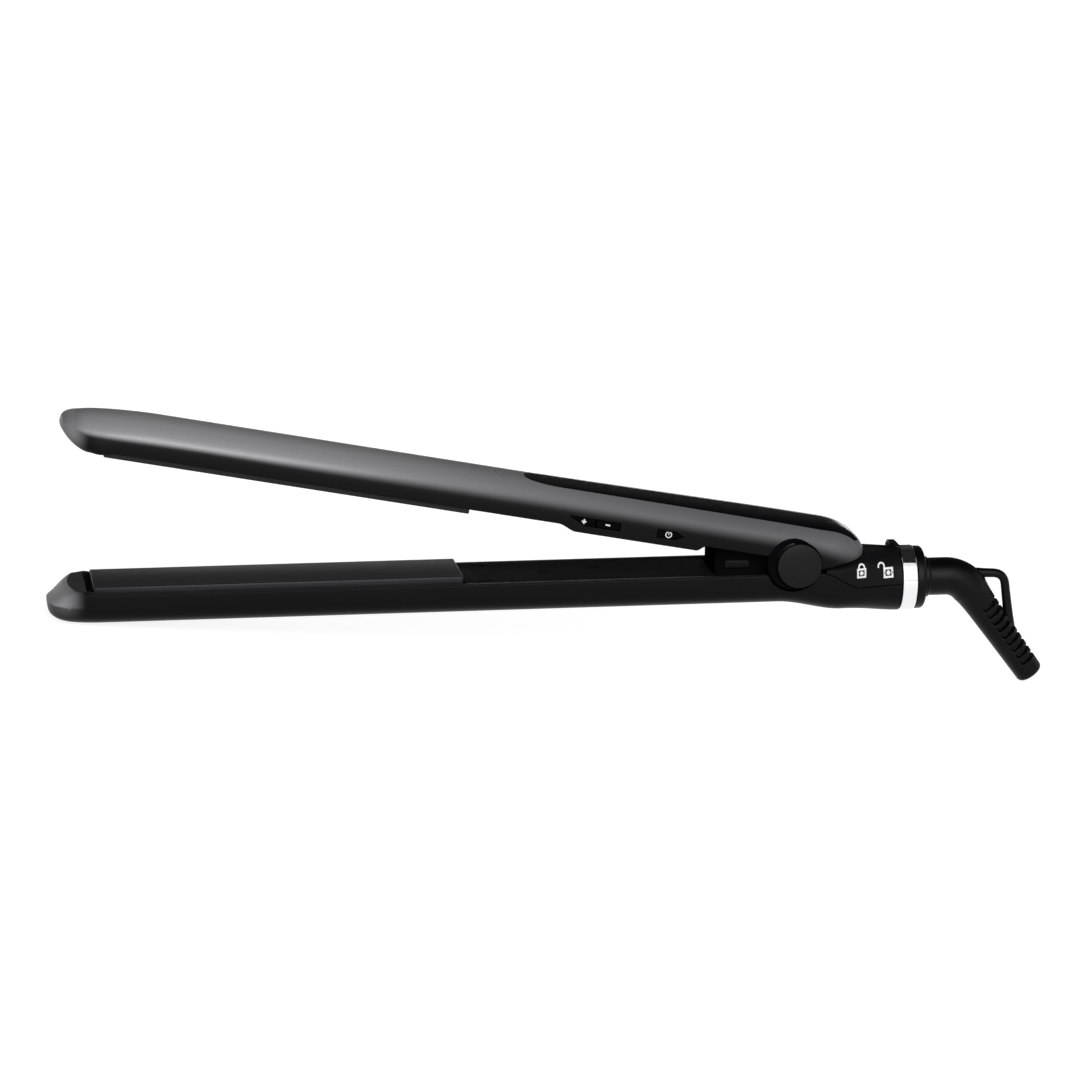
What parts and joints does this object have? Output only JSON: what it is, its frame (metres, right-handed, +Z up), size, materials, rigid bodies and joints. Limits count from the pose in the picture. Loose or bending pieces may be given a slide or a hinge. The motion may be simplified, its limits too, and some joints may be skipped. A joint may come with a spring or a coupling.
{
  "type": "flat iron",
  "caption": "hair straightening iron: sprung arms on a pivot, floating heated plates, side buttons, sliding lock and a swivelling ribbed cord relief with a hanging loop",
  "frame": {"origin": "centre of the bounding box at the table that the iron stands on", "axes": "+X along the arms towards the tail and the cord relief, +Y away from the button side, +Z up"},
  "size_m": [0.3296, 0.036, 0.0685],
  "materials": {
    "graphite": "satin graphite paint, grey on top and near black on the sides",
    "black_plastic": "fine matte moulded black",
    "gloss_black": "polished black",
    "plate": "dark ceramic coating, smooth",
    "chrome": "polished plating",
    "steel": "plain bright steel",
    "heater": "unglazed ceramic",
    "rubber": "matte moulded rubber",
    "board": "solder mask",
    "nylon": "natural nylon"
  },
  "bodies": {
    "lower_arm": {"lower_casing": "graphite", "lower_inner_cover": "black_plastic", "hinge_knuckle": "black_plastic", "tail_insert": "black_plastic", "chrome_ring": "chrome", "end_cap": "black_plastic", "swivel_socket": "nylon", "hinge_pin": "steel", "opening_spring": "steel", "lower_float_spring_front": "steel", "lower_float_spring_rear": "steel", "lower_cover_screw_front": "steel", "lower_cover_screw_rear": "steel"},
    "lower_plate_float": {"lower_plate": "plate", "lower_heater": "heater", "lower_carrier": "black_plastic"},
    "upper_arm": {"upper_casing": "graphite", "top_inlay": "gloss_black", "upper_inner_cover": "black_plastic", "pivot_cap_near": "black_plastic", "pivot_cap_far": "black_plastic", "hinge_washer_near": "nylon", "hinge_washer_far": "nylon", "control_board": "board", "tact_switch_plus": "black_plastic", "tact_switch_minus": "black_plastic", "tact_switch_power": "black_plastic", "upper_float_spring_front": "steel", "upper_float_spring_rear": "steel", "upper_cover_screw_front": "steel", "upper_cover_screw_rear": "steel"},
    "upper_plate_float": {"upper_plate": "plate", "upper_heater": "heater", "upper_carrier": "black_plastic"},
    "plus_key": {"plus_button": "gloss_black"},
    "minus_key": {"minus_button": "gloss_black"},
    "power_key": {"power_button": "gloss_black"},
    "lock": {"lock_slider": "black_plastic"},
    "cord_swivel": {"strain_relief": "rubber", "swivel_clip": "steel"}
  },
  "joints": [
    {"name": "arm_hinge", "type": "hinge", "parent": "lower_arm", "child": "upper_arm", "pos_m": [0.07598, 0, 0.0373], "axis": [0, 1, 0], "range_deg": [-10.6, 0], "stiffness_Nm_per_rad": 0.5, "springref_deg": 40.11, "deforming": ["opening_spring"]},
    {"name": "lower_plate_press", "type": "slide", "parent": "lower_arm", "child": "lower_plate_float", "axis": [0.1012, 0, -0.9949], "range_m": [0, 0.0008], "stiffness_N_per_m": 2500, "springref_m": -0.001, "deforming": ["lower_float_spring_front", "lower_float_spring_rear"]},
    {"name": "upper_plate_press", "type": "slide", "parent": "upper_arm", "child": "upper_plate_float", "axis": [0.0836, 0, 0.9965], "range_m": [0, 0.0008], "stiffness_N_per_m": 2500, "springref_m": -0.001, "deforming": ["upper_float_spring_front", "upper_float_spring_rear"]},
    {"name": "plus_press", "type": "slide", "parent": "upper_arm", "child": "plus_key", "axis": [0, 1, 0], "range_m": [0, 0.0004], "stiffness_N_per_m": 800, "springref_m": -0.0006},
    {"name": "minus_press", "type": "slide", "parent": "upper_arm", "child": "minus_key", "axis": [0, 1, 0], "range_m": [0, 0.0004], "stiffness_N_per_m": 800, "springref_m": -0.0006},
    {"name": "power_press", "type": "slide", "parent": "upper_arm", "child": "power_key", "axis": [0, 1, 0], "range_m": [0, 0.0004], "stiffness_N_per_m": 800, "springref_m": -0.0006},
    {"name": "lock_slide", "type": "slide", "parent": "lower_arm", "child": "lock", "axis": [-0.9949, 0, -0.1012], "range_m": [0, 0.005]},
    {"name": "cord_swivel_turn", "type": "hinge", "parent": "lower_arm", "child": "cord_swivel", "pos_m": [0.07689, 0, 0.02835], "axis": [0.9949, 0, 0.1012], "continuous": true}
  ]
}
